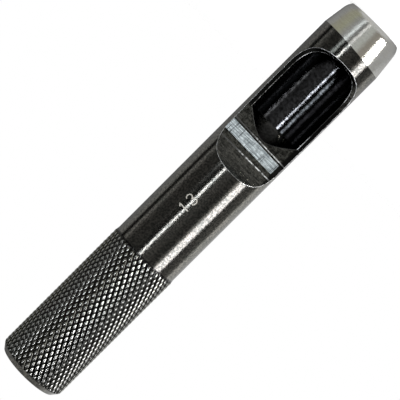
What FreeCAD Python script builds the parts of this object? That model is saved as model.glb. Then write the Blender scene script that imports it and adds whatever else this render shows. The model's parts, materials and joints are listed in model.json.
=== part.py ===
import FreeCAD, Part
import math
import os

# Drive hole punch, 13 mm. One bar of tool steel, turned, drilled, milled, knurled and ground.
# The frame: the origin is the centre of the cutting edge and +Z runs up the bar to the face that
# the mallet strikes. The window that lets the punched slugs out faces -Y. Sizes in millimetres.

# Driving dimensions of the bar
TOTAL_LENGTH = 102.6
BODY_RADIUS = 8.0
BORE_RADIUS = 6.5

# Cutting end: a sharp edge, a short steep bevel and a long shallow one
EDGE_LAND = 0.05
STEEP_BEVEL_HEIGHT = 0.7
STEEP_BEVEL_RADIUS = 6.98
SECOND_BEVEL_HEIGHT = 1.8
SECOND_BEVEL_RADIUS = 7.31
GROUND_HEIGHT = 7.0

# Bore: a true-size land behind the edge, a wider relief, and the drill's cone at the bottom
LAND_LENGTH = 4.0
RELIEF_STEP = 0.6
RELIEF_RADIUS = BORE_RADIUS + 0.5
BORE_DEPTH = 29.5
CONE_HALF_ANGLE = 49.0

# Slug window, milled across the bar. Each FLOOR is measured from the bar's axis towards -Y
WINDOW_TIP_END = 10.5
WINDOW_HANDLE_END = 42.3
END_RADIUS = 8.0
HANDLE_FLOOR = 2.95
HOLLOW_START = 33.8
HOLLOW_MIDDLE = 24.0
HOLLOW_FLOOR = 2.6
TIP_FLOOR = 2.65
CUTTER_TOP = BODY_RADIUS + 1.0
CUTTER_HALF_WIDTH = BODY_RADIUS + 1.0

# Handle end: plain shank, knurled grip and the chamfered striking end
WINDOW_ZONE_TOP = 43.0
KNURL_START = 67.3
KNURL_RADIUS = 8.2
CHAMFER_HEIGHT = 1.25
STRIKING_FACE_RADIUS = 7.0
KNURL_END = TOTAL_LENGTH - CHAMFER_HEIGHT


def turned(outline):
    """Solid of revolution about Z from a closed outline of (radius, height) points."""
    points = [FreeCAD.Vector(radius, 0, height) for radius, height in outline]
    wire = Part.makePolygon(points + points[:1])
    return Part.Face(wire).revolve(FreeCAD.Vector(0, 0, 0), FreeCAD.Vector(0, 0, 1), 360)


def bore_tool():
    """The space inside the bore: land, relief and drill cone."""
    cone_height = RELIEF_RADIUS / math.tan(math.radians(CONE_HALF_ANGLE))
    return turned(
        [
            (0, 0),
            (BORE_RADIUS, 0),
            (BORE_RADIUS, LAND_LENGTH),
            (RELIEF_RADIUS, LAND_LENGTH + RELIEF_STEP),
            (RELIEF_RADIUS, BORE_DEPTH),
            (0, BORE_DEPTH + cone_height),
        ]
    )


def end_reach(floor, top):
    """Length along the bar of one rounded window end, between its floor and a height above the axis."""
    return math.sqrt(END_RADIUS**2 - (floor + END_RADIUS - top) ** 2)


def window_point(height, above_axis):
    """A point of the window's outline, on the side of the bar where the cutter starts."""
    return FreeCAD.Vector(-CUTTER_HALF_WIDTH, -above_axis, height)


def rounded_end(low_height, floor, direction):
    """Arc of one window end, from its lowest point to the top of the cutter, and its two ends."""
    reach = end_reach(floor, CUTTER_TOP)
    half_turn = math.asin(reach / END_RADIUS) / 2
    low = window_point(low_height, floor)
    middle = window_point(
        low_height + direction * END_RADIUS * math.sin(half_turn),
        floor + END_RADIUS * (1 - math.cos(half_turn)),
    )
    high = window_point(low_height + direction * reach, CUTTER_TOP)
    return Part.Arc(low, middle, high).toShape(), low, high


def window_tool():
    """The space that the milling cutter clears: the window's outline, run right across the bar."""
    tip_low = WINDOW_TIP_END + end_reach(TIP_FLOOR, BODY_RADIUS)
    handle_low = WINDOW_HANDLE_END - end_reach(HANDLE_FLOOR, BODY_RADIUS)
    tip_arc, tip_start, tip_high = rounded_end(tip_low, TIP_FLOOR, -1)
    handle_arc, handle_start, handle_high = rounded_end(handle_low, HANDLE_FLOOR, 1)
    hollow_start = window_point(HOLLOW_START, HANDLE_FLOOR)
    hollow = Part.Arc(tip_start, window_point(HOLLOW_MIDDLE, HOLLOW_FLOOR), hollow_start).toShape()
    floor = Part.LineSegment(hollow_start, handle_start).toShape()
    opening = Part.LineSegment(handle_high, tip_high).toShape()
    outline = Part.Wire([tip_arc, hollow, floor, handle_arc, opening])
    return Part.Face(outline).extrude(FreeCAD.Vector(2 * CUTTER_HALF_WIDTH, 0, 0))


def cutting_edge():
    """The bright ground ring that cuts the leather, round the mouth of the bore."""
    ring = turned(
        [
            (0, 0),
            (BORE_RADIUS + EDGE_LAND, 0),
            (STEEP_BEVEL_RADIUS, STEEP_BEVEL_HEIGHT),
            (SECOND_BEVEL_RADIUS, SECOND_BEVEL_HEIGHT),
            (BODY_RADIUS, GROUND_HEIGHT),
            (0, GROUND_HEIGHT),
        ]
    )
    return ring.cut(bore_tool())


def slug_barrel():
    """The drilled part of the bar, opened on one side by the slug window."""
    bar = turned(
        [
            (0, GROUND_HEIGHT),
            (BODY_RADIUS, GROUND_HEIGHT),
            (BODY_RADIUS, WINDOW_ZONE_TOP),
            (0, WINDOW_ZONE_TOP),
        ]
    )
    return bar.cut(bore_tool()).cut(window_tool())


def plain_shank():
    """The solid smooth length between the window and the grip."""
    return turned(
        [
            (0, WINDOW_ZONE_TOP),
            (BODY_RADIUS, WINDOW_ZONE_TOP),
            (BODY_RADIUS, KNURL_START),
            (0, KNURL_START),
        ]
    )


def knurled_grip():
    """The grip, at the diameter over the crests of its diamond knurl."""
    return turned(
        [
            (0, KNURL_START),
            (KNURL_RADIUS, KNURL_START),
            (KNURL_RADIUS, KNURL_END),
            (0, KNURL_END),
        ]
    )


def striking_end():
    """The chamfered end and the flat face that the mallet strikes."""
    return turned(
        [
            (0, KNURL_END),
            (BODY_RADIUS, KNURL_END),
            (STRIKING_FACE_RADIUS, TOTAL_LENGTH),
            (0, TOTAL_LENGTH),
        ]
    )


ZONES = {
    "cutting_edge": cutting_edge,
    "slug_barrel": slug_barrel,
    "plain_shank": plain_shank,
    "knurled_grip": knurled_grip,
    "striking_end": striking_end,
}

os.makedirs("parts", exist_ok=True)
for name, make in ZONES.items():
    shape = make()
    shape.exportStep(f"parts/{name}.step")
    print(name, "valid", shape.isValid(), "solids", len(shape.Solids), "volume", round(shape.Volume, 1))
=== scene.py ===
# %% [markdown]
# # Drive hole punch, 13 mm
# A drive punch is one bar of tool steel. Its maker turns the bar, drills it from the cutting end,
# mills a window in its side to let the slugs out, rolls a diamond knurl on the grip, blackens the
# whole of it, and then grinds the tip bright. This notebook gives the bar its real surfaces: the
# ground edge, the milled window, the oxide skin and the knurl.
#
# The sizes of the bar's zones come from the loaded frame. The work is done in millimetres, because
# a bevel of a tenth is easier to read than one of 0.0001, and each finished mesh is scaled once.

# %% Load the frame
import json
import math

import bmesh
import bpy
from mathutils import Matrix, Vector


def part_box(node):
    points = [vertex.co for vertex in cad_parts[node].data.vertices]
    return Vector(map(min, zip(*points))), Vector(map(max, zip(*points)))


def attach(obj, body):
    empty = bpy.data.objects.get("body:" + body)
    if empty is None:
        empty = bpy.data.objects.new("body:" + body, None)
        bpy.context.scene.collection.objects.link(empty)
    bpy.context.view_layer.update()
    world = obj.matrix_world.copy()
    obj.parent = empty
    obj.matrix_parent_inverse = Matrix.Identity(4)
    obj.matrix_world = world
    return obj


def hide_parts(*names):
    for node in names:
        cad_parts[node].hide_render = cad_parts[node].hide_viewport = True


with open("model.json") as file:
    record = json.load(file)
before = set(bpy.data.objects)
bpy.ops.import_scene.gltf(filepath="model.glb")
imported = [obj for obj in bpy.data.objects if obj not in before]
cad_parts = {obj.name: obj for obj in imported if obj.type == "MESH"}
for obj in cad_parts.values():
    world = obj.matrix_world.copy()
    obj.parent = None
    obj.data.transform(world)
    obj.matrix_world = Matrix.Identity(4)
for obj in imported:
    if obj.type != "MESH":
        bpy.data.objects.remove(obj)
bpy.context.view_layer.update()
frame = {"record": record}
MM = 0.001


def zone(node):
    """Lowest and highest height of a zone of the bar, and its radius, in millimetres."""
    low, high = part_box(node)
    return low.z / MM, high.z / MM, high.x / MM


EDGE_TOP, BODY_R = zone("cutting_edge")[1:]
BARREL_TOP = zone("slug_barrel")[1]
KNURL_LOW, KNURL_HIGH, KNURL_R = zone("knurled_grip")
BAR_TOP = zone("striking_end")[1]
BORE_R = frame["record"]["mounts"][0]["dims"]["r_mm"]
print("bar", BAR_TOP, "mm long, body radius", BODY_R, "bore radius", BORE_R)

# %% [markdown]
# ## The bench and the camera
# Black oxide shows almost nothing of itself. What the eye reads is what it reflects, so the lights
# come before the finish. Long strip lights that stand parallel to the bar give the straight
# streaks of a cylinder, and a white room gives the pale bands along its two outlines.
#
# Each strip has a foot of another strength. The straight bar reflects the strip and the leaning tip
# reflects its foot, so the black and the bright steel can be lit apart.

# %% Strip lights
LIGHT_DISTANCE = 0.6
MIDDLE = Vector((0, 0, BAR_TOP / 2 * MM))
FOOT_TOP = -0.13
STRIPS = [
    # name, azimuth, degrees covered, low end, high end, radiance, colour
    ("narrow_strip", 18.6, 3.4, FOOT_TOP, 0.9, 16.0, (0.9, 0.93, 1.0)),
    ("narrow_strip_foot", 18.6, 4.5, -0.7, FOOT_TOP, 1.3, (1.0, 1.0, 1.0)),
    ("wide_strip", -54.5, 19.8, FOOT_TOP, 0.22, 7.5, (0.94, 0.93, 1.0)),
    ("wide_strip_foot", -54.5, 19.8, -0.38, FOOT_TOP, 18.0, (1.0, 1.0, 0.96)),
    ("low_strip", 40.5, 7.5, FOOT_TOP, 0.0, 2.6, (0.85, 0.93, 1.0)),
    ("low_strip_foot", 41.0, 6.0, -0.7, FOOT_TOP, 0.95, (0.9, 0.96, 1.0)),
]


def around(azimuth, distance, height):
    """A point round the bar. Azimuth 0 is in front of the window, and grows towards +X."""
    turn = math.radians(azimuth)
    return MIDDLE + Vector((math.sin(turn) * distance, -math.cos(turn) * distance, height))


def strip_light(name, azimuth, spread, low, high, radiance, colour):
    """An upright strip light that covers a spread of degrees, between two heights in metres."""
    width = 2 * LIGHT_DISTANCE * math.tan(math.radians(spread / 2))
    length = high - low
    data = bpy.data.lights.new(name, "AREA")
    data.shape = "RECTANGLE"
    data.size, data.size_y = width, length
    data.energy = radiance * math.pi * width * length
    data.color = colour
    light = bpy.data.objects.new(name, data)
    light.location = around(azimuth, LIGHT_DISTANCE, (low + high) / 2)
    outwards = light.location - MIDDLE
    outwards.z = 0
    light.rotation_mode = "QUATERNION"
    light.rotation_quaternion = outwards.to_track_quat("Z", "Y")
    bpy.context.scene.collection.objects.link(light)
    print(name, "is", round(width * 1000), "by", round(length * 1000), "mm")


for strip in STRIPS:
    strip_light(*strip)

# %% [markdown]
# The room is the world. A glossy surface sees white walls behind the bar, a dim studio in front of
# it, and a pale table below. The direction of the ray picks the wall, so one colour ramp runs once
# round the room and another round the table.

# %% Node helpers

def node(tree, kind, **values):
    """A node with its sockets set by name."""
    made = tree.nodes.new(kind)
    for name, value in values.items():
        made.inputs[name.replace("_", " ")].default_value = value
    return made


def feed(made, name, value):
    """Links a socket into a node's input, or sets the input to a number."""
    if isinstance(value, (int, float)):
        made.inputs[name].default_value = value
    else:
        made.id_data.links.new(value, made.inputs[name])


def maths(tree, operation, first, second=None, third=None):
    """A Math node's output. Each input is a socket or a number."""
    made = node(tree, "ShaderNodeMath")
    made.operation = operation
    for place, value in enumerate((first, second, third)):
        if value is not None:
            feed(made, place, value)
    return made.outputs[0]


def times(tree, first, second):
    """The product of two values."""
    return maths(tree, "MULTIPLY", first, second)


def times_plus(tree, first, second, third):
    """The product of two values, plus a third."""
    return maths(tree, "MULTIPLY_ADD", first, second, third)


def remap(tree, value, low, high, to_low=0.0, to_high=1.0):
    """A smooth Map Range from one span of values to another."""
    made = node(tree, "ShaderNodeMapRange")
    made.interpolation_type = "SMOOTHSTEP"
    for place, number in enumerate((value, low, high, to_low, to_high)):
        feed(made, place, number)
    return made.outputs["Result"]


def colour_of(tone):
    """A colour with its alpha, from a grey or from red, green and blue."""
    return (tone, tone, tone, 1) if isinstance(tone, (int, float)) else (*tone, 1)


def ramp(tree, factor, stops):
    """A Color Ramp's colour output. Stops are (place, grey or colour)."""
    made = node(tree, "ShaderNodeValToRGB")
    elements = made.color_ramp.elements
    while len(elements) < len(stops):
        elements.new(1.0)
    for element, (place, tone) in zip(elements, stops):
        element.position = place
        element.color = colour_of(tone)
    feed(made, 0, factor)
    return made.outputs[0]


def mix(tree, factor, first, second):
    """A colour mix. The factor is a socket, and each colour is a socket, a grey or a colour."""
    made = node(tree, "ShaderNodeMix")
    made.data_type = "RGBA"
    feed(made, "Factor", factor)
    for name, tone in (("A", first), ("B", second)):
        socket = next(i for i in made.inputs if i.name == name and i.type == "RGBA")
        if isinstance(tone, (int, float, tuple)):
            socket.default_value = colour_of(tone)
        else:
            tree.links.new(tone, socket)
    return next(o for o in made.outputs if o.type == "RGBA")

# %% The tones of the room
WALL_STOPS = [
    (-180, 0.4), (-162, 0.8), (-144, 0.8), (-127, 1.15), (-114, 1.7), (-107, 1.5), (-103, 0.4),
    (-90, 0.32), (-75, 0.2), (-66, 0.15), (-45, 0.14), (-43, 1.1), (-39, 1.1), (-37, 0.14),
    (-20, 0.13), (-5, 0.24), (8, 0.24), (14, 0.12), (24, 0.03), (33, 0.03), (38, 0.12),
    (75, 0.13), (86, 0.22), (92, 0.62), (98, 0.62), (101, 0.03), (113, 0.03), (117, 0.6),
    (126, 0.62), (139, 0.46), (157, 0.26), (180, 0.15),
]
TABLE_STOPS = [
    (-180, 0.32), (-115, 0.6), (-76, 0.56), (-35, (0.41, 0.38, 0.33)), (-18, (0.43, 0.4, 0.36)),
    (-6, (0.69, 0.71, 0.68)), (8, (0.69, 0.71, 0.68)), (22, 0.22), (32, 0.27),
    (42, (0.6, 0.63, 0.63)), (56, 0.44), (80, (0.5, 0.5, 0.38)), (104, (0.47, 0.46, 0.37)),
    (126, 0.45), (180, 0.28),
]
CEILING, UNDERNEATH = 0.55, 0.58
print("room:", len(WALL_STOPS), "stops round the walls,", len(TABLE_STOPS), "round the table")

# %% [markdown]
# Each span is a range of the ray's Z over which one part of the room gives way to the next.

# %% The white room
TABLE_SPAN = (-0.1, -0.2)
DIM_SPAN, DIMMED = (-0.09, 0.03), 0.68
CEILING_SPAN = (0.72, 0.85)
UNDERNEATH_SPAN = (-0.62, -0.8)
scene = bpy.context.scene
scene.view_settings.view_transform = "Standard"
world = bpy.data.worlds.new("white_room")
scene.world = world
world.use_nodes = True
room = world.node_tree
room.nodes.clear()
ray = node(room, "ShaderNodeSeparateXYZ")
feed(ray, 0, node(room, "ShaderNodeTexCoord").outputs["Generated"])
azimuth = maths(room, "ARCTAN2", ray.outputs["X"], times(room, ray.outputs["Y"], -1.0))
share = times_plus(room, azimuth, 0.5 / math.pi, 0.5)


def tones(stops):
    """A ramp once round the room, from stops of (degrees, grey or colour)."""
    return ramp(room, share, [(degrees / 360 + 0.5, tone) for degrees, tone in stops])


height = ray.outputs["Z"]
surroundings = mix(room, remap(room, height, *TABLE_SPAN), tones(WALL_STOPS), tones(TABLE_STOPS))
surroundings = mix(room, remap(room, height, *DIM_SPAN, DIMMED, 1.0), 0.0, surroundings)
surroundings = mix(room, remap(room, height, *CEILING_SPAN), surroundings, CEILING)
surroundings = mix(room, remap(room, height, *UNDERNEATH_SPAN), surroundings, UNDERNEATH)

# %% [markdown]
# The camera's own rays see plain white instead of this room.

# %% What the camera sees
room_light = node(room, "ShaderNodeBackground", Strength=1.0)
feed(room_light, "Color", surroundings)
white = node(room, "ShaderNodeBackground", Color=(1, 1, 1, 1), Strength=1.0)
choose = node(room, "ShaderNodeMixShader")
feed(choose, "Fac", node(room, "ShaderNodeLightPath").outputs["Is Camera Ray"])
feed(choose, 1, room_light.outputs[0])
feed(choose, 2, white.outputs[0])
feed(node(room, "ShaderNodeOutputWorld"), "Surface", choose.outputs[0])
print("the room has", len(room.nodes), "nodes")

# %% [markdown]
# The floor is a plain pale sheet. It glows a little to the camera only, so that it meets the white
# room with no line between them and still shows the shadow at the foot of the bar. Glossy rays pass
# it by, because the table that they should see is already painted in the room.

# %% The floor
FLOOR_SIZE = 3.0
FLOOR_GLOW = 0.6


def as_object(name, shape):
    """A linked object from a bmesh, which is freed."""
    data = bpy.data.meshes.new(name)
    shape.to_mesh(data)
    shape.free()
    made = bpy.data.objects.new(name, data)
    scene.collection.objects.link(made)
    return made


shape = bmesh.new()
bmesh.ops.create_grid(shape, x_segments=1, y_segments=1, size=FLOOR_SIZE)
floor = as_object("floor", shape)
paper = bpy.data.materials.new("white_paper")
paper.use_nodes = True
sheet = paper.node_tree
matt = sheet.nodes["Principled BSDF"]
matt.inputs["Base Color"].default_value = (0.85, 0.85, 0.85, 1)
matt.inputs["Roughness"].default_value = 1.0
matt.inputs["Emission Color"].default_value = (1, 1, 1, 1)
to_camera = node(sheet, "ShaderNodeLightPath").outputs["Is Camera Ray"]
feed(matt, "Emission Strength", times(sheet, to_camera, FLOOR_GLOW))
floor.data.materials.append(paper)
floor.visible_glossy = False
floor.visible_shadow = False
print("floor is", 2 * FLOOR_SIZE, "m wide")

# %% [markdown]
# A small tool is seen from close by, so the streaks on it change along its length. The camera
# stands a third of a metre away with a long lens, and is rolled to lay the bar across the frame.

# %% The camera
CAMERA_DISTANCE = 0.335
CAMERA_AZIMUTH = 6.0
CAMERA_ELEVATION = -4.2
CAMERA_ROLL = -134.9
LENS = 144.0
AIM_SHIFT = (0.00075, 0.00049)

camera_data = bpy.data.cameras.new("camera")
camera_data.lens = LENS
camera_data.shift_x, camera_data.shift_y = AIM_SHIFT
camera = bpy.data.objects.new("camera", camera_data)
turn, rise = math.radians(CAMERA_AZIMUTH), math.radians(CAMERA_ELEVATION)
back = Vector((math.sin(turn) * math.cos(rise), -math.cos(turn) * math.cos(rise), math.sin(rise)))
camera.location = MIDDLE + back * CAMERA_DISTANCE
camera.rotation_mode = "QUATERNION"
roll = Matrix.Rotation(math.radians(CAMERA_ROLL), 4, "Z").to_quaternion()
camera.rotation_quaternion = back.to_track_quat("Z", "Y") @ roll
scene.collection.objects.link(camera)
scene.camera = camera
print("camera", round(CAMERA_DISTANCE * 1000), "mm from the bar, lens", LENS)

# %% [markdown]
# ## Turned shapes
# Most of the bar is turned, so one helper does the lathe's work: it spins a profile of radius and
# height points round Z. A Screw modifier would too, but rings built by hand have no seam to weld,
# and each pole is one shared point.

# %% The lathe

def lathe(name, profile, segments, closed=False):
    """A turned solid from (radius, height) points. A closed profile makes a ring."""
    shape = bmesh.new()
    rings = []
    for radius, height in profile:
        ring = []
        for step in range(segments if radius > 0 else 1):
            angle = 2 * math.pi * step / segments
            ring.append(shape.verts.new((radius * math.cos(angle), radius * math.sin(angle), height)))
        rings.append(ring)
    next_rings = rings[1:] + rings[:1] if closed else rings[1:]
    for low, high in zip(rings, next_rings):
        for step in range(segments):
            after = (step + 1) % segments
            corners = [low[step % len(low)], low[after % len(low)]]
            corners += [high[after % len(high)], high[step % len(high)]]
            shape.faces.new(list(dict.fromkeys(corners)))
    bmesh.ops.recalc_face_normals(shape, faces=shape.faces)
    return as_object(name, shape)

# %% [markdown]
# Three more helpers finish a piece: one bakes its modifiers, one smooths its shading up to its real
# corners, and one scales it to metres and hands it to the frame.

# %% Finishing helpers
CORNER_DEGREES = 30


def evaluated(piece):
    """Replaces a piece's mesh with what its modifiers make, and removes the modifiers."""
    graph = bpy.context.evaluated_depsgraph_get()
    baked = bpy.data.meshes.new_from_object(piece.evaluated_get(graph))
    piece.modifiers.clear()
    piece.data = baked


def smooth(piece, degrees=CORNER_DEGREES):
    """Smooth shading that breaks where two faces meet at more than a number of degrees."""
    piece.data.shade_smooth()
    piece.data.set_sharp_from_angle(angle=math.radians(degrees))


def finish_piece(piece, node_name=None):
    """Puts a finished piece in the frame: it rides on the bar, and may stand for one of its zones."""
    piece.data.transform(Matrix.Scale(MM, 4))
    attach(piece, "root")
    if node_name:
        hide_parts(node_name)
    print(piece.name, "has", len(piece.data.polygons), "faces")

# %% [markdown]
# ## The finishes
# The bar has one metal and several skins. Each skin is a fully metallic material whose colour,
# roughness and bump come from two shared patterns: soft clouds, for the way oxide takes unevenly,
# and tool lines, for the marks that a lathe or a milling cutter leaves.

# %% Shared patterns

def new_group(name, output, **inputs):
    """An empty shader group with one float output, and float inputs with these values."""
    group = bpy.data.node_groups.new(name, "ShaderNodeTree")
    for label, value in inputs.items():
        socket = group.interface.new_socket(name=label, in_out="INPUT", socket_type="NodeSocketFloat")
        socket.default_value = value
    group.interface.new_socket(name=output, in_out="OUTPUT", socket_type="NodeSocketFloat")
    return group, node(group, "NodeGroupInput").outputs, node(group, "NodeGroupOutput")


def place_in_mm(tree):
    """Object coordinates in millimetres."""
    scaled = node(tree, "ShaderNodeVectorMath")
    scaled.operation = "SCALE"
    scaled.inputs["Scale"].default_value = 1 / MM
    feed(scaled, 0, node(tree, "ShaderNodeTexCoord").outputs["Object"])
    return scaled.outputs[0]


def axes_in_mm(tree):
    """The three object coordinates, in millimetres, as separate sockets."""
    made = node(tree, "ShaderNodeSeparateXYZ")
    feed(made, 0, place_in_mm(tree))
    return made.outputs


def radius_in_mm(tree):
    """Distance from the bar's axis."""
    x, y, z = axes_in_mm(tree)
    return maths(tree, "SQRT", times_plus(tree, x, x, times(tree, y, y)))


def noise_at(tree, vector, scale, detail, roughness):
    """A noise's value at a place. Its scale is a socket."""
    made = node(tree, "ShaderNodeTexNoise", Detail=detail, Roughness=roughness)
    feed(made, "Vector", vector)
    feed(made, "Scale", scale)
    return made.outputs["Fac"]


def stretched(tree, vector, squash):
    """A place that is squashed along each axis, so that a pattern read there comes out long."""
    made = node(tree, "ShaderNodeVectorMath")
    made.operation = "MULTIPLY"
    made.inputs[1].default_value = squash
    feed(made, 0, vector)
    return made.outputs[0]


def clouds_group():
    """Uneven patches of a size in millimetres, from 0 to 1, harder with more contrast."""
    group, into, out = new_group("clouds", "Mask", Size=1.0, Contrast=0.2)
    scale = maths(group, "DIVIDE", 1.0, into["Size"])
    cloud = noise_at(group, place_in_mm(group), scale, 4.0, 0.62)
    low = maths(group, "SUBTRACT", 0.5, into["Contrast"])
    high = maths(group, "ADD", 0.5, into["Contrast"])
    feed(out, "Mask", remap(group, cloud, low, high))
    return group


def tool_lines_group(name, squash):
    """Fine lines of a width in millimetres, long in the directions that squash makes small."""
    group, into, out = new_group(name, "Lines", Width=0.2)
    scale = maths(group, "DIVIDE", 1.0, into["Width"])
    place = stretched(group, place_in_mm(group), squash)
    feed(out, "Lines", noise_at(group, place, scale, 3.0, 0.7))
    return group


CLOUDS = clouds_group()
LATHE_LINES = tool_lines_group("lathe_lines", (0.06, 0.06, 1.0))
MILL_LINES = tool_lines_group("mill_lines", (0.05, 1.0, 1.0))
CROSS_LINES = tool_lines_group("cross_lines", (1.0, 1.0, 0.08))
print("patterns:", CLOUDS.name, LATHE_LINES.name, MILL_LINES.name, CROSS_LINES.name)

# %% [markdown]
# A skin mixes its colours with the shared patterns, and lets them lift the surface a little.

# %% Helpers for the skins
BORE_FLOOR = 29.5
LEDGE = 38.03
PAINTED_SHADE_BLACK = (0.012, 0.012, 0.011)


def pattern(tree, group, **values):
    """A shared pattern's output, with its inputs set by name."""
    made = node(tree, "ShaderNodeGroup")
    made.node_tree = group
    for name, value in values.items():
        made.inputs[name].default_value = value
    return made.outputs[0]


def clouds(tree, size, contrast):
    """The pattern of patches, with their size in millimetres and their contrast."""
    return pattern(tree, CLOUDS, Size=size, Contrast=contrast)


def bump(tree, height, strength, distance):
    """A normal that is tilted by the slope of a height."""
    made = node(tree, "ShaderNodeBump", Strength=strength, Distance=distance)
    feed(made, "Height", height)
    return made.outputs["Normal"]


def new_skin(name, metallic=1.0):
    """A material that is metallic, unless told otherwise, and its node tree."""
    skin = bpy.data.materials.new(name)
    skin.use_nodes = True
    skin.node_tree.nodes["Principled BSDF"].inputs["Metallic"].default_value = metallic
    return skin, skin.node_tree


def coat(skin, colour, roughness, normal=None):
    """Ends a skin: a colour, a roughness and, if it has one, a bump. Returns the skin."""
    shader = skin.node_tree.nodes["Principled BSDF"]
    feed(shader, "Base Color", colour)
    feed(shader, "Roughness", roughness)
    if normal is not None:
        feed(shader, "Normal", normal)
    return skin

# %% [markdown]
# ### Black oxide
# Hot blacking turns the steel's own surface into a thin black skin. It keeps the gloss of the
# turned metal under it and looks brown where it is thin. A dark base colour that varies in patches,
# a low roughness and a very small bump give this. Coating black paint over grey would look plastic.

# %% Black oxide

def black_oxide():
    """Glossy hot-blacked steel, brown where the skin is thin, with the turning just visible."""
    skin, tree = new_skin("black_oxide")
    thin = clouds(tree, 0.4, 0.1)
    patchy = clouds(tree, 3.5, 0.25)
    fine = clouds(tree, 0.17, 0.22)
    lines = pattern(tree, LATHE_LINES, Width=0.22)
    full_skin, thin_skin, greenish = (0.068, 0.068, 0.061), (0.205, 0.193, 0.17), (0.09, 0.1, 0.09)
    base = mix(tree, thin, full_skin, thin_skin)
    base = mix(tree, times(tree, patchy, 0.35), base, greenish)
    height = times_plus(tree, lines, 0.3, times(tree, fine, 0.5))
    return coat(skin, base, times_plus(tree, fine, 0.1, 0.07), bump(tree, height, 0.4, 0.000012))

# %% [markdown]
# ### The bore
# The inside of the tube is blacked too, but a drill leaves it smoother and wavier than a lathe
# does. Its two sides are painted darker, as shade, and the drill's cone at its end is brown in
# patches, as if blacking salts had dried there. Masks on X and Z place these, and noise breaks them up.

# %% Bore skin

def bore_skin():
    """The drilled bore: black, glossy and a little wavy from the drill."""
    skin, tree = new_skin("bore_skin")
    thin = clouds(tree, 0.6, 0.2)
    lines = pattern(tree, LATHE_LINES, Width=0.45)
    dark, pale = (0.03, 0.03, 0.03), (0.14, 0.143, 0.148)
    x, y, z = axes_in_mm(tree)
    # Painted shade: the bore's colour is darkened down its two sides, to dim the light they reflect.
    painted_side_shade = remap(tree, maths(tree, "ABSOLUTE", x), 2.9, 3.5)
    base = mix(tree, times(tree, painted_side_shade, 0.6), mix(tree, thin, dark, pale), dark)
    cone = mix(tree, thin, (0.05, 0.05, 0.047), (0.13, 0.127, 0.12))
    base = mix(tree, remap(tree, z, BORE_FLOOR - 0.3, BORE_FLOOR + 0.3), base, cone)
    height = times_plus(tree, lines, 0.4, thin)
    return coat(skin, base, 0.05, bump(tree, height, 0.4, 0.000016))

# %% [markdown]
# ### The milled window
# The cutter leaves fine lines across the floor of the window, and the blacking takes unevenly over
# them. The two narrow rails next to the bore and the far side of the window are painted nearly
# black as shade, so that the floor above the bore reads as flat. The corner at the tip is left out of
# this painted shade, because the floor turns up towards the light there.

# %% Milled skin

def milled_black():
    """The window's floor and ends: blacked over the fine lines of the milling cutter."""
    skin, tree = new_skin("milled_black")
    x, y, z = axes_in_mm(tree)
    thin = clouds(tree, 0.8, 0.22)
    speck = clouds(tree, 0.22, 0.2)
    lines = pattern(tree, MILL_LINES, Width=0.16)
    streaked = times_plus(tree, speck, 0.3, times_plus(tree, thin, 0.25, lines))
    in_lines, between_lines, paler_grey = (0.004, 0.005, 0.004), (0.118, 0.116, 0.103), (0.16, 0.16, 0.15)
    base = mix(tree, remap(tree, streaked, 0.5, 1.0), in_lines, between_lines)
    # The base colour is mixed a little towards a paler grey at the window's handle end.
    handle_end = remap(tree, z, LEDGE + 0.17, LEDGE + 1.37)
    base = mix(tree, times(tree, handle_end, 0.06), base, paler_grey)
    # Painted shade: the rails next to the bore and the window's far side are painted nearly black, except
    # the corner at the tip, which turns towards the light.
    rails = remap(tree, z, BORE_FLOOR + 0.7, BORE_FLOOR - 0.3)
    black = maths(tree, "MAXIMUM", rails, remap(tree, x, -6.0, -6.5))
    tip_corner = times(tree, remap(tree, z, 18.4, 16.8), remap(tree, x, -5.2, -5.8))
    black = times(tree, black, maths(tree, "SUBTRACT", 1.0, tip_corner))
    base = mix(tree, black, base, PAINTED_SHADE_BLACK)
    return coat(skin, base, times_plus(tree, thin, 0.12, 0.2), bump(tree, streaked, 0.5, 0.000015))

# %% [markdown]
# ### The bright strip
# Near its handle end, the floor of the window has a flat that was cut after the bar was blacked, so
# it shows bare steel. Lines run across the bar, and a few scratches and grey worn patches cross
# them. Three patterns are mixed in turn, because one noise alone looks like cloth.

# %% Strip skin

def bright_strip():
    """The flat near the window's handle end: unblacked steel with cutter lines, scratches and dull patches.
    """
    skin, tree = new_skin("bright_strip")
    wear_and_highlight_patches = clouds(tree, 0.7, 0.08)
    lines = pattern(tree, MILL_LINES, Width=0.2)
    scratches = pattern(tree, CROSS_LINES, Width=0.34)
    grey, bright = (0.3, 0.345, 0.355), (0.9, 0.97, 0.98)
    scratched, dulled = (0.1, 0.11, 0.115), (0.16, 0.19, 0.195)
    steel = mix(tree, remap(tree, lines, 0.4, 0.6), grey, bright)
    steel = mix(tree, remap(tree, scratches, 0.45, 0.35), steel, scratched)
    steel = mix(tree, times(tree, wear_and_highlight_patches, 0.42), steel, dulled)
    # Painted shade: past X = -6.35 the strip is painted nearly black, like the window's far side.
    inside = remap(tree, axes_in_mm(tree)["X"], -6.35, -6.15)
    base = mix(tree, inside, PAINTED_SHADE_BLACK, steel)
    return coat(skin, base, 0.45, bump(tree, lines, 0.5, 0.00002))

# %% [markdown]
# ### The steps' painted highlight
# Two small steps cross the floor of the window. Each has a painted highlight, a bright line that
# a mask along X fades out on one side.

# %% Step skin

def painted_highlight_step():
    """A narrow step in the window's floor, with a painted highlight that a mask along X fades out on one
    side.
    """
    skin, tree = new_skin("painted_highlight_step")
    wear_and_highlight_patches = clouds(tree, 0.7, 0.16)
    x = axes_in_mm(tree)["X"]
    # Painted highlight: a bright line on the step, broken up by noise and faded out along X.
    rubbed_and_highlit = times(tree, wear_and_highlight_patches, remap(tree, x, 3.0, 0.5))
    rubbed_and_highlit = times(tree, rubbed_and_highlit, remap(tree, x, -6.9, -6.0))
    dull, bright = (0.1, 0.1, 0.095), (0.95, 0.97, 0.95)
    return coat(skin, mix(tree, rubbed_and_highlit, dull, bright), 0.45)

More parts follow.
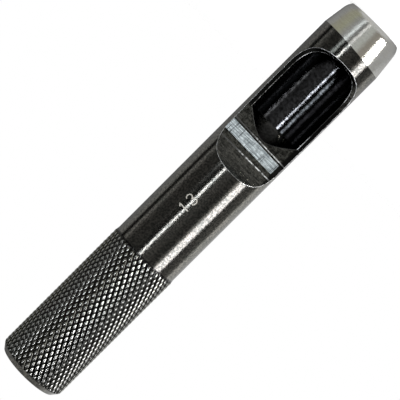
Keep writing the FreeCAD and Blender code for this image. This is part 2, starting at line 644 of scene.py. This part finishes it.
# %% [markdown]
# ### The worn and highlit rims
# The rims of the window are where the blacking goes first, and where light catches. A pointiness
# mask would need a dense mesh and gives the same wear everywhere. Here the rim is a real bevel with a
# skin of its own, and masks say where it shows bright steel, as wear and as painted highlight: at
# both ends, and least in the middle of the handle end.

# %% Rim skin

def band(tree, value, outside_low, inside_low, inside_high, outside_high):
    """1 inside a band of values and 0 outside it, with soft borders."""
    rising = remap(tree, value, outside_low, inside_low)
    return times(tree, rising, remap(tree, value, outside_high, inside_high))


def handle_wear_and_highlight(tree, x, z):
    """Wear and painted highlight on the outer rim round the handle end: least in its middle, most to either
    side.
    """
    spared = times_plus(tree, band(tree, x, -3.4, -2.6, -0.6, 0.4), -0.3, 0.6)
    rubbed_most = band(tree, x, -5.6, -5.0, -3.5, -2.9)
    along_rim = times_plus(tree, rubbed_most, 0.4, spared)
    return times(tree, remap(tree, z, 37.0, 38.5), along_rim)


def worn_and_highlit_edge():
    """Rims that show bright steel at the window's ends and sides, as blacking worn off and as painted
    highlight, and stay black elsewhere.
    """
    skin, tree = new_skin("worn_and_highlit_edge")
    x, y, z = axes_in_mm(tree)
    near_tip = remap(tree, z, 17.0, 15.0)
    far_side, near_side = remap(tree, x, -6.2, -6.7), remap(tree, x, 4.0, 6.0)
    ends = maths(tree, "MAXIMUM", handle_wear_and_highlight(tree, x, z), near_tip)
    ends = times(tree, ends, maths(tree, "SUBTRACT", 1.0, near_side))
    outer_wear = maths(tree, "MAXIMUM", ends, times(tree, far_side, 0.3))
    outer_wear = maths(tree, "MAXIMUM", outer_wear, times(tree, near_side, 0.5))
    spot = band(tree, z, 25.3, 26.3, 29.2, 29.6)
    spot = times(tree, spot, remap(tree, x, -6.0, -6.4))
    inner_wear = maths(tree, "MAXIMUM", near_tip, spot)
    outer_rim = remap(tree, radius_in_mm(tree), 7.4, 7.6)
    # Wear and painted highlight: these masks choose where the rims are painted as bright steel.
    wear_and_highlight = mix(tree, outer_rim, inner_wear, outer_wear)
    patches = times_plus(tree, clouds(tree, 0.6, 0.1), 0.75, 0.35)
    amount = times(tree, wear_and_highlight, patches)
    black, bare_and_highlit = (0.055, 0.055, 0.053), (0.95, 0.96, 0.96)
    nicks = clouds(tree, 0.8, 0.06)
    return coat(skin, mix(tree, amount, black, bare_and_highlit), times_plus(tree, nicks, -0.42, 0.8))

# %% [markdown]
# ### Ground steel
# The tip is ground last, so it is bright. Its grain runs round the bar, and the heat of grinding
# leaves a trace of straw colour in patches. A ripple in the bump breaks the streaks of light up.

# %% Ground steel

def ground_steel():
    """The tip after grinding: bright, with fine circular grain and a trace of temper colour."""
    skin, tree = new_skin("ground_steel")
    grain = pattern(tree, LATHE_LINES, Width=0.14)
    patch = clouds(tree, 1.2, 0.3)
    speck = clouds(tree, 0.2, 0.25)
    ripple = clouds(tree, 0.55, 0.3)
    dull, bright, straw, pitted = (0.73, 0.73, 0.7), (0.85, 0.85, 0.82), (0.78, 0.75, 0.63), 0.42
    base = mix(tree, remap(tree, grain, 0.3, 0.7), dull, bright)
    base = mix(tree, times(tree, patch, 0.3), base, straw)
    base = mix(tree, times(tree, speck, 0.35), base, pitted)
    uneven = times_plus(tree, ripple, 1.3, times(tree, speck, 0.4))
    height = times_plus(tree, grain, 0.4, uneven)
    return coat(skin, base, times_plus(tree, speck, 0.1, 0.07), bump(tree, height, 0.6, 0.000012))

# %% [markdown]
# ### The knurl's skin
# Hands rub the crests of a knurl and never reach its grooves. The distance from the bar's axis
# tells the two apart exactly, with no map to paint, so it drives the colour: the grooves are painted
# darker as shade, and the crests are rubbed paler and painted brighter as highlight.

# %% Knurl skin

def knurl_skin():
    """Blacked knurl: painted dark in its grooves as shade, paler on its crests, as rub and painted
    highlight.
    """
    skin, tree = new_skin("knurl_skin")
    patch = clouds(tree, 0.5, 0.25)
    crest = remap(tree, radius_in_mm(tree), KNURL_R - 0.16, KNURL_R - 0.05)
    # Painted shade: the grooves get a darker colour than the crests.
    groove = mix(tree, patch, (0.014, 0.014, 0.013), (0.055, 0.055, 0.05))
    rubbed_and_highlit = (0.42, 0.42, 0.39)
    return coat(skin, mix(tree, crest, groove, rubbed_and_highlit), times_plus(tree, patch, 0.06, 0.07))

# %% [markdown]
# ### The size mark
# The number is lasered, which burns the black skin off and leaves a dull pale oxide. It is the one
# finish here that isn't metallic, since it should look the same from every side.

# %% Mark skin

def laser_mark():
    """Where a laser took the oxide off: matt, pale and a little brown."""
    skin, tree = new_skin("laser_mark", metallic=0.0)
    speck = clouds(tree, 0.25, 0.25)
    brown, pale = (0.36, 0.34, 0.29), (0.66, 0.64, 0.57)
    return coat(skin, mix(tree, speck, brown, pale), 0.6)

# %% Make the skins
BLACK = black_oxide()
LASER_MARK = laser_mark()
BORE_SKIN = bore_skin()
MILLED = milled_black()
STRIP = bright_strip()
STEP_HIGHLIGHT_SKIN = painted_highlight_step()
WORN_AND_HIGHLIT = worn_and_highlit_edge()
GROUND = ground_steel()
KNURL_SKIN = knurl_skin()
for skin in (BLACK, LASER_MARK, BORE_SKIN, MILLED, STRIP, STEP_HIGHLIGHT_SKIN, WORN_AND_HIGHLIT, GROUND, KNURL_SKIN):
    print("skin", skin.name, "has", len(skin.node_tree.nodes), "nodes")

# %% [markdown]
# ## The cutting edge
# The tip is a ring with a sharp mouth: a short steep bevel that is honed, and a long shallow one
# that is ground. Both are slightly rounded, so each has a point more than a drawing would give it.
# The line where grinding stops slants a little, because the bar was held off centre against the
# wheel, so that ring of vertices leans.

# %% Cutting edge
TURNED_SEGMENTS = 256
EDGE_LAND = 0.05
STEEP_BEVEL = [(6.72, 0.28), (6.98, 0.7)]
SHALLOW_BEVEL = [(7.17, 1.2), (7.31, 1.8), (BODY_R, EDGE_TOP)]
RELIEF = 0.5
BORE_WALL = BORE_R + RELIEF
LAND_LENGTH, RELIEF_STEP = 4.0, 0.6
GROUND_LEAN, ON_THE_RING = -0.069, 0.01


def lean(piece, height):
    """Leans the ring of vertices at a height, because the tip is ground a little off centre."""
    for vertex in piece.data.vertices:
        if abs(vertex.co.z - height) < ON_THE_RING:
            vertex.co.z += GROUND_LEAN * vertex.co.x


mouth = [(BORE_R, 0.0), (BORE_R + EDGE_LAND, 0.0)]
inside = [(BORE_WALL, EDGE_TOP), (BORE_WALL, LAND_LENGTH + RELIEF_STEP), (BORE_R, LAND_LENGTH)]
edge_profile = mouth + STEEP_BEVEL + SHALLOW_BEVEL + inside
edge = lathe("edge_ring", edge_profile, TURNED_SEGMENTS, closed=True)
lean(edge, EDGE_TOP)
edge.data.materials.append(GROUND)
smooth(edge)
finish_piece(edge, "cutting_edge")

# %% [markdown]
# ## The slug barrel
# This is the drilled length of the bar with a window milled through one side. The real bar is
# turned, then drilled, then milled, and the mesh is made in the same order: a solid cylinder, minus
# a drill, minus a cutter. Booleans suit this, because the curved outline where the three meet is
# hard to draw and easy to cut. Each tool carries its own skin, and hands it to the faces it cuts.

# %% The window's outline
CONE_HALF_ANGLE = 49
CONE_TIP = BORE_FLOOR + BORE_WALL / math.tan(math.radians(CONE_HALF_ANGLE))
WINDOW_TIP, WINDOW_HANDLE = 10.5, 42.3
END_R = 8.0
FLOOR = 2.95
TIP_FLOOR = 2.65
HOLLOW_MIDDLE, HOLLOW_FLOOR, HOLLOW_WIDTH = 24.0, 2.6, 260
HOLLOW_STEPS = 20
CUTTER_TOP = BODY_R + 1


def end_reach(floor, top):
    """Length along the bar of a rounded window end, between its floor and a height above the axis."""
    return math.sqrt(END_R**2 - (floor + END_R - top) ** 2)


TIP_LOW = WINDOW_TIP + end_reach(TIP_FLOOR, BODY_R)
HANDLE_LOW = WINDOW_HANDLE - end_reach(FLOOR, BODY_R)


def end_arc(low, floor, side, steps, start=0.0):
    """Points of a window end, from a distance past its lowest point to above the bar."""
    stop = math.asin(end_reach(floor, CUTTER_TOP) / END_R)
    first = math.asin(start / END_R)
    points = []
    for step in range(steps + 1):
        angle = first + (stop - first) * step / steps
        points.append((low + side * END_R * math.sin(angle), floor + END_R * (1 - math.cos(angle))))
    return points

# %% [markdown]
# The floor isn't one plane. From the tip it has a shallow hollow, a ridge, a groove, the bright
# strip and a ledge, and each is a pair of points. Only the two round ends and the hollow need more.

# %% The steps in the floor
RIDGE = 33.7
STRIP_LOW, STRIP_TOP = 34.2, 36.88


def hollow_points():
    """Points of the shallow hollow between the tip's arc and the ridge, as a parabola."""
    points = []
    for step in range(1, HOLLOW_STEPS):
        height = TIP_LOW + (RIDGE - 0.1 - TIP_LOW) * step / HOLLOW_STEPS
        points.append((height, HOLLOW_FLOOR + (height - HOLLOW_MIDDLE) ** 2 / HOLLOW_WIDTH))
    return points


def window_profile():
    """The window's outline, and where the bright strip, the ledge and the ridge start in it."""
    tip = end_arc(TIP_LOW, TIP_FLOOR, -1, 34)[::-1]
    ridge = [(RIDGE - 0.12, 2.95), (RIDGE + 0.12, 2.96)]
    groove = [(RIDGE + 0.18, 2.84), (STRIP_LOW - 0.06, 2.84)]
    strip = [(STRIP_LOW, 2.98), (STRIP_TOP, 3.0)]
    step_up = [(STRIP_TOP + 0.06, 3.2), (LEDGE - 0.2, 3.46)]
    ledge = [(LEDGE - 0.14, 3.6), (LEDGE + 0.14, 3.62)]
    handle = end_arc(HANDLE_LOW, FLOOR, 1, 30, start=LEDGE + 0.24 - HANDLE_LOW)
    outline = tip + hollow_points() + ridge + groove + strip + step_up + ledge + handle
    return outline, outline.index(strip[0]), outline.index(ledge[0]), outline.index(ridge[0])


outline, strip_edge, ledge_edge, ridge_edge = window_profile()
print("the window's outline has", len(outline), "points")

# %% [markdown]
# The cutter is the window's outline, pushed right across the bar. The ridge, the groove and the
# strip run slightly askew, so the cutter's two sides have those points at different heights.

# %% The milling cutter
STRIP_SKEW = -0.036


def cutter_block(outline, skewed, half_width):
    """The cutter's block across the bar. The points whose numbers are in skewed run askew."""
    shape = bmesh.new()
    sides = []
    for x in (-half_width, half_width):
        side = []
        for number, (height, above) in enumerate(outline):
            lean_here = STRIP_SKEW * x if number in skewed else 0.0
            side.append(shape.verts.new((x, -above, height + lean_here)))
        sides.append(side)
    count = len(outline)
    for number in range(count):
        after = (number + 1) % count
        shape.faces.new([sides[0][number], sides[0][after], sides[1][after], sides[1][number]])
    shape.faces.new(sides[0][::-1])
    shape.faces.new(sides[1])
    bmesh.ops.recalc_face_normals(shape, faces=shape.faces)
    return as_object("cutter", shape)

# %% Turn, drill and mill the barrel
DRILL_START, DRILL_SEGMENTS = 5.0, 240
CUTTER_HALF_WIDTH = BODY_R + 1


def plain_bar(low, high):
    """The profile of a plain length of the bar."""
    return [(0, low), (BODY_R, low), (BODY_R, high), (0, high)]


barrel = lathe("slug_barrel_shell", plain_bar(EDGE_TOP, BARREL_TOP), TURNED_SEGMENTS)
lean(barrel, EDGE_TOP)
drill_profile = [(0, DRILL_START), (BORE_WALL, DRILL_START), (BORE_WALL, BORE_FLOOR), (0, CONE_TIP)]
drill = lathe("drill", drill_profile, DRILL_SEGMENTS)
cutter = cutter_block(outline, range(ridge_edge, strip_edge + 2), CUTTER_HALF_WIDTH)
OUTSIDE, BORED, CUT, RIM, BARE, STEP_HIGHLIGHT = range(6)
for tool, surface in ((barrel, OUTSIDE), (drill, BORED), (cutter, CUT)):
    for skin in (BLACK, BORE_SKIN, MILLED, WORN_AND_HIGHLIT, STRIP, STEP_HIGHLIGHT_SKIN):
        tool.data.materials.append(skin)
    for face in tool.data.polygons:
        face.material_index = surface
# The ledge and the ridge get the skin with the painted highlight.
for edge_number, surface in ((strip_edge, BARE), (ledge_edge, STEP_HIGHLIGHT), (ridge_edge, STEP_HIGHLIGHT)):
    cutter.data.polygons[edge_number].material_index = surface
for tool in (drill, cutter):
    cut = barrel.modifiers.new(tool.name, "BOOLEAN")
    cut.operation = "DIFFERENCE"
    cut.object = tool
    cut.solver = "EXACT"
evaluated(barrel)
for tool in (drill, cutter):
    bpy.data.objects.remove(tool)
print("the cut barrel has", len(barrel.data.polygons), "faces")

# %% [markdown]
# No real edge is perfectly sharp, and a rim only catches the light if it has a width. A Bevel
# modifier would round every edge alike, so the rims are picked by the skins on their two sides and
# beveled here: wider round the bore, narrow along the outside. Points of a rim that lie too close
# together are merged first, because they would make the bevel cross itself.

# %% Round the rims

def side_of(face):
    """Which of the three tools made a face: the lathe, the drill or the cutter."""
    return min(face.material_index, CUT)


def rim_edges(shape, surface):
    """Edges where the milled window meets a surface: the outside of the bar, or the bore."""
    found = []
    for border in shape.edges:
        if {side_of(face) for face in border.link_faces} == {surface, CUT}:
            found.append(border)
    return found


OUTER_RIM, BORE_RIM = 0.07, 0.2
BEFORE_BEVEL, AFTER_BEVEL = 0.07, 0.004
RIM_DEGREES = 24
shape = bmesh.new()
shape.from_mesh(barrel.data)
for surface, width in ((BORED, BORE_RIM), (OUTSIDE, OUTER_RIM)):
    points = list(dict.fromkeys(v for border in rim_edges(shape, surface) for v in border.verts))
    bmesh.ops.remove_doubles(shape, verts=points, dist=BEFORE_BEVEL)
    bmesh.ops.bevel(
        shape, geom=rim_edges(shape, surface), offset=width, offset_type="OFFSET", segments=2,
        profile=0.5, affect="EDGES", clamp_overlap=False, material=RIM,
    )
bmesh.ops.remove_doubles(shape, verts=shape.verts, dist=AFTER_BEVEL)
print("open edges on the barrel", sum(1 for border in shape.edges if not border.is_manifold))
for face in shape.faces:
    face.smooth = True
for border in shape.edges:
    skins = {face.material_index for face in border.link_faces}
    border.smooth = len(skins) == 1 and border.calc_face_angle(0) < math.radians(RIM_DEGREES)
shape.to_mesh(barrel.data)
shape.free()
finish_piece(barrel, "slug_barrel")

# %% [markdown]
# ## The plain shank
# This length is solid and plain, and all of its looks come from the skin and the lights. It has as
# many segments as the barrel, so that the two outlines meet exactly.

# %% Plain shank
shank = lathe("shank_bar", plain_bar(BARREL_TOP, KNURL_LOW), TURNED_SEGMENTS)
shank.data.materials.append(BLACK)
smooth(shank)
finish_piece(shank, "plain_shank")

# %% [markdown]
# ## The size mark
# Punches of a set differ only in their hole, so each has its size in millimetres on its shank. A
# text object would need a font, and its flat letters would stand off the round bar. The two digits
# are thin closed strokes instead, which follow lines and arcs and are bent on to the cylinder.

# %% Size mark
STROKE = 0.25
MARK_FOOT = math.radians(6.3)
MARK_LOW, MARK_TOP = BODY_R - 0.03, BODY_R + 0.006
ONE_START, THREE_START = 54.05, 51.8


def arc_points(middle, radii, first, last, steps=14):
    """Points of an ellipse's arc between two angles in degrees."""
    points = []
    for step in range(steps + 1):
        angle = math.radians(first + (last - first) * step / steps)
        points.append((middle[0] + radii[0] * math.cos(angle), middle[1] + radii[1] * math.sin(angle)))
    return points


def on_bar(along, up, radius):
    """A point of the mark: it reads towards the cutting edge, with its foot in front."""
    angle = MARK_FOOT + up / BODY_R
    return (radius * math.sin(angle), -radius * math.cos(angle), along)


def stroke(shape, points, start):
    """A thin closed bar along a line of points, bent on to the cylinder."""
    sections = []
    for number, (x, y) in enumerate(points):
        before, after = points[max(number - 1, 0)], points[min(number + 1, len(points) - 1)]
        run = Vector((after[0] - before[0], after[1] - before[1])).normalized() * STROKE / 2
        section = []
        for side, radius in ((1, MARK_LOW), (1, MARK_TOP), (-1, MARK_TOP), (-1, MARK_LOW)):
            section.append(shape.verts.new(on_bar(start - x + side * run.y, y + side * run.x, radius)))
        sections.append(section)
    for first, second in zip(sections, sections[1:]):
        for corner in range(4):
            after = (corner + 1) % 4
            shape.faces.new([first[corner], first[after], second[after], second[corner]])
    shape.faces.new(sections[0][::-1])
    shape.faces.new(sections[-1])


ONE = [(-0.45, 1.95), (-0.1, 2.3)] + [(0.02, 2.5 - step / 4) for step in range(11)]
THREE = arc_points((0.0, 1.88), (0.66, 0.6), 160, -90) + arc_points((0.0, 0.65), (0.76, 0.63), 90, -160)[1:]
shape = bmesh.new()
stroke(shape, ONE, ONE_START)
stroke(shape, THREE, THREE_START)
bmesh.ops.recalc_face_normals(shape, faces=shape.faces)
mark = as_object("size_mark", shape)
mark.data.materials.append(LASER_MARK)
finish_piece(mark)

# %% [markdown]
# ## The striking end
# The mallet strikes a flat face inside a chamfer. The chamfer keeps the edge from mushrooming over
# the hand. Its inner corner has two points close together, which gives it a narrow rounded line.

# %% Striking end
FACE_R = 7.0
CORNER = [(FACE_R + 0.1, BAR_TOP - 0.06), (FACE_R - 0.05, BAR_TOP)]
cap_profile = [(0, KNURL_HIGH), (BODY_R, KNURL_HIGH)] + CORNER + [(0, BAR_TOP)]
end = lathe("striking_cap", cap_profile, TURNED_SEGMENTS)
end.data.materials.append(BLACK)
smooth(end)
finish_piece(end, "striking_end")

# %% [markdown]
# ## The knurled grip
# Two hardened wheels roll this pattern into the bar, one for each hand of slanting grooves, and
# leave a lattice of diamonds. Modelling one diamond and arraying it leaves seams, and a bump map
# would be flat in outline, so Geometry Nodes build it by its rule: one flat strip of diamond
# patches, lowered where the grooves run, wrapped on to the bar, and repeated once for each start.
# Every patch has its borders on the grooves, so the valleys stay crisp with few faces.

# %% The knurl's sizes
STARTS = 42
HELIX_DEGREES = 30.0
ROW_PITCH = math.pi * KNURL_R / STARTS / math.tan(math.radians(HELIX_DEGREES))
KNURL_INPUTS = {
    "Starts": STARTS,
    "Rows": math.ceil((KNURL_HIGH - KNURL_LOW) / ROW_PITCH) + 3,
    "Row Pitch": ROW_PITCH,
    "Bottom": KNURL_LOW - ROW_PITCH,
    "Low End": KNURL_LOW,
    "High End": KNURL_HIGH,
    "Root Radius": BODY_R - 0.16,
    "Crest Radius": KNURL_R,
    "Plain Radius": BODY_R,
    "Fade": 0.8,
    "Cross Depth": 0.68,
    "Roundness": 0.95,
    "Material": KNURL_SKIN,
}
print("rows of diamonds", KNURL_INPUTS["Rows"], "each", round(ROW_PITCH, 2), "mm along the bar")

# %% [markdown]
# Each helper adds a node or two to the tree and gives back the socket that comes out.

# %% Node helpers for the knurl
WELD_DISTANCE = 0.002


def combine(tree, x, y, z=None):
    """A vector from sockets. What is None stays zero."""
    made = node(tree, "ShaderNodeCombineXYZ")
    for place, value in enumerate((x, y, z)):
        if value is not None:
            feed(made, place, value)
    return made.outputs[0]


def position(tree):
    """The X, Y and Z of each point."""
    made = node(tree, "ShaderNodeSeparateXYZ")
    feed(made, 0, node(tree, "GeometryNodeInputPosition").outputs[0])
    return made.outputs


def moved(tree, geometry, place):
    """The geometry with its points set to a place."""
    made = node(tree, "GeometryNodeSetPosition")
    feed(made, "Geometry", geometry)
    feed(made, "Position", place)
    return made.outputs["Geometry"]


def line(tree, count):
    """Points to put instances on. They all lie at the origin until they are moved."""
    made = node(tree, "GeometryNodeMeshLine", Offset=(0, 0, 0))
    feed(made, "Count", count)
    return made.outputs["Mesh"]


def placed(tree, points, shape, rotation=None):
    """Puts the shape on every point, makes the copies real and welds them where they meet."""
    place = node(tree, "GeometryNodeInstanceOnPoints")
    feed(place, "Points", points)
    feed(place, "Instance", shape)
    if rotation is not None:
        feed(place, "Rotation", rotation)
    real = node(tree, "GeometryNodeRealizeInstances")
    feed(real, "Geometry", place.outputs["Instances"])
    weld = node(tree, "GeometryNodeMergeByDistance", Distance=WELD_DISTANCE)
    feed(weld, "Geometry", real.outputs["Geometry"])
    return weld.outputs["Geometry"]

# %% [markdown]
# ### One strip of the lattice
# The strip's points climb the bar, every second one half a pitch to the side. Each gets a patch: a
# small square grid that is turned by an eighth and stretched into a diamond.

# %% The strip
PATCH_POINTS = 7


def lattice_strip(tree, into, pitch):
    """Flat diamond patches in a strip. X runs round the bar and Y along it."""
    half = times(tree, pitch, 0.5)
    index = node(tree, "GeometryNodeInputIndex").outputs[0]
    across = times(tree, maths(tree, "MODULO", index, 2.0), half)
    along = times_plus(tree, index, into["Row Pitch"], into["Bottom"])
    points = moved(tree, line(tree, into["Rows"]), combine(tree, across, along))
    square = node(tree, "GeometryNodeMeshGrid", Vertices_X=PATCH_POINTS, Vertices_Y=PATCH_POINTS)
    x, y, z = position(tree)
    sideways = times(tree, maths(tree, "SUBTRACT", x, y), half)
    lengthways = times(tree, maths(tree, "ADD", x, y), into["Row Pitch"])
    patch = moved(tree, square.outputs["Mesh"], combine(tree, sideways, lengthways))
    return placed(tree, points, patch)

# %% [markdown]
# ### Both hands of grooves
# Each hand is a wave across its own slanting lines, and a point takes the lower of the two. One
# hand is shallower, as when its wheel bites less.

# %% The grooves

def ridges(tree, into, turns, rise, hand):
    """How high one hand's ridges stand: 1 on a crest, 0 in a groove. The hand is 1 or -1."""
    phase = times_plus(tree, rise, hand * 0.5, turns)
    off = maths(tree, "ABSOLUTE", maths(tree, "SUBTRACT", phase, maths(tree, "ROUND", phase)))
    off = times(tree, off, 2.0)
    swell = times_plus(tree, off, into["Roundness"], 1.0)
    return times(tree, maths(tree, "SUBTRACT", 1.0, off), swell)


def diamonds(tree, into, pitch, x, y):
    """How high the diamonds stand between both hands of grooves, from 0 to 1."""
    turns = maths(tree, "DIVIDE", x, pitch)
    rise = maths(tree, "DIVIDE", maths(tree, "SUBTRACT", y, into["Bottom"]), into["Row Pitch"])
    crossing = maths(tree, "SUBTRACT", ridges(tree, into, turns, rise, -1), 1.0)
    crossing = times_plus(tree, crossing, into["Cross Depth"], 1.0)
    return maths(tree, "MINIMUM", ridges(tree, into, turns, rise, 1), crossing)

# %% [markdown]
# ### On to the bar
# The height turns into a radius, which fades to the plain bar's at both ends of the knurl, faster
# at the top, where the chamfer cuts it off. The strip is then wrapped on to the bar.

# %% Wrap the strip
TOP_FADE = 0.4


def fading(tree, into, y):
    """1 along the knurl, and 0 at its two ends."""
    low = remap(tree, y, into["Low End"], maths(tree, "ADD", into["Low End"], into["Fade"]))
    top_fade = times(tree, into["Fade"], TOP_FADE)
    high = remap(tree, y, into["High End"], maths(tree, "SUBTRACT", into["High End"], top_fade))
    return times(tree, low, high)


def wrapped(tree, into, pitch):
    """The place on the bar of each point of the flat strip."""
    x, y, z = position(tree)
    depth = maths(tree, "SUBTRACT", into["Crest Radius"], into["Root Radius"])
    radius = times_plus(tree, diamonds(tree, into, pitch, x, y), depth, into["Root Radius"])
    proud = maths(tree, "SUBTRACT", radius, into["Plain Radius"])
    radius = times_plus(tree, proud, fading(tree, into, y), into["Plain Radius"])
    angle = maths(tree, "DIVIDE", x, into["Crest Radius"])
    across = times(tree, radius, maths(tree, "COSINE", angle))
    outwards = times(tree, radius, maths(tree, "SINE", angle))
    return combine(tree, across, outwards, y)

# %% [markdown]
# ### The tree
# The wrapped strip is repeated once for each start, turned round the bar. The copies are made
# real, because the export leaves instances out, and welded where they meet.

# %% The knurl's tree

def knurl_tree():
    """Geometry Nodes: a lattice of diamonds, wrapped on to the bar and cut by both hands of grooves."""
    tree = bpy.data.node_groups.new("diamond_knurl", "GeometryNodeTree")
    tree.interface.new_socket(name="Geometry", in_out="OUTPUT", socket_type="NodeSocketGeometry")
    for name, value in KNURL_INPUTS.items():
        kind = {int: "NodeSocketInt", float: "NodeSocketFloat"}.get(type(value), "NodeSocketMaterial")
        tree.interface.new_socket(name=name, in_out="INPUT", socket_type=kind)
    into = node(tree, "NodeGroupInput").outputs
    circle = times(tree, into["Crest Radius"], 2 * math.pi)
    pitch = maths(tree, "DIVIDE", circle, into["Starts"])
    strip = moved(tree, lattice_strip(tree, into, pitch), wrapped(tree, into, pitch))
    index = node(tree, "GeometryNodeInputIndex").outputs[0]
    turn = maths(tree, "DIVIDE", times(tree, index, 2 * math.pi), into["Starts"])
    bar = placed(tree, line(tree, into["Starts"]), strip, combine(tree, None, None, turn))
    paint = node(tree, "GeometryNodeSetMaterial")
    feed(paint, "Geometry", bar)
    feed(paint, "Material", into["Material"])
    feed(node(tree, "NodeGroupOutput"), "Geometry", paint.outputs["Geometry"])
    return tree

# %% [markdown]
# The tree's inputs are set by the identifier of each socket, before the object is first evaluated.

# %% Roll the knurl
grip = as_object("knurl", bmesh.new())
roll_on = grip.modifiers.new("knurl", "NODES")
roll_on.node_group = knurl_tree()
for item in roll_on.node_group.interface.items_tree:
    if item.in_out == "INPUT":
        roll_on[item.identifier] = KNURL_INPUTS[item.name]
evaluated(grip)
print("the rolled lattice has", len(grip.data.polygons), "faces")

# %% [markdown]
# The lattice is a little longer than the grip, so both ends are cut flat and closed with a face,
# which makes the grip a solid like the rest.

# %% Cut the grip to length
VALLEY_DEGREES = 25
ON_THE_CUT = 1e-4


def cut_end(shape, height, side):
    """Cuts away what is past a height, up or down by the side, and closes the cut with a face."""
    everything = shape.verts[:] + shape.edges[:] + shape.faces[:]
    plane = {"plane_co": (0, 0, height), "plane_no": (0, 0, side)}
    bmesh.ops.bisect_plane(shape, geom=everything, clear_outer=True, **plane)
    border = []
    for edge in shape.edges:
        if edge.is_boundary and all(abs(point.co.z - height) < ON_THE_CUT for point in edge.verts):
            border.append(edge)
    bmesh.ops.contextual_create(shape, geom=border)


shape = bmesh.new()
shape.from_mesh(grip.data)
cut_end(shape, KNURL_LOW, -1)
cut_end(shape, KNURL_HIGH, 1)
bmesh.ops.recalc_face_normals(shape, faces=shape.faces)
print("open edges on the knurl", sum(1 for border in shape.edges if not border.is_manifold))
shape.to_mesh(grip.data)
shape.free()
smooth(grip, VALLEY_DEGREES)
finish_piece(grip, "knurled_grip")

# %% [markdown]
# ## The end

# %% Finish
print("the bar is finished")
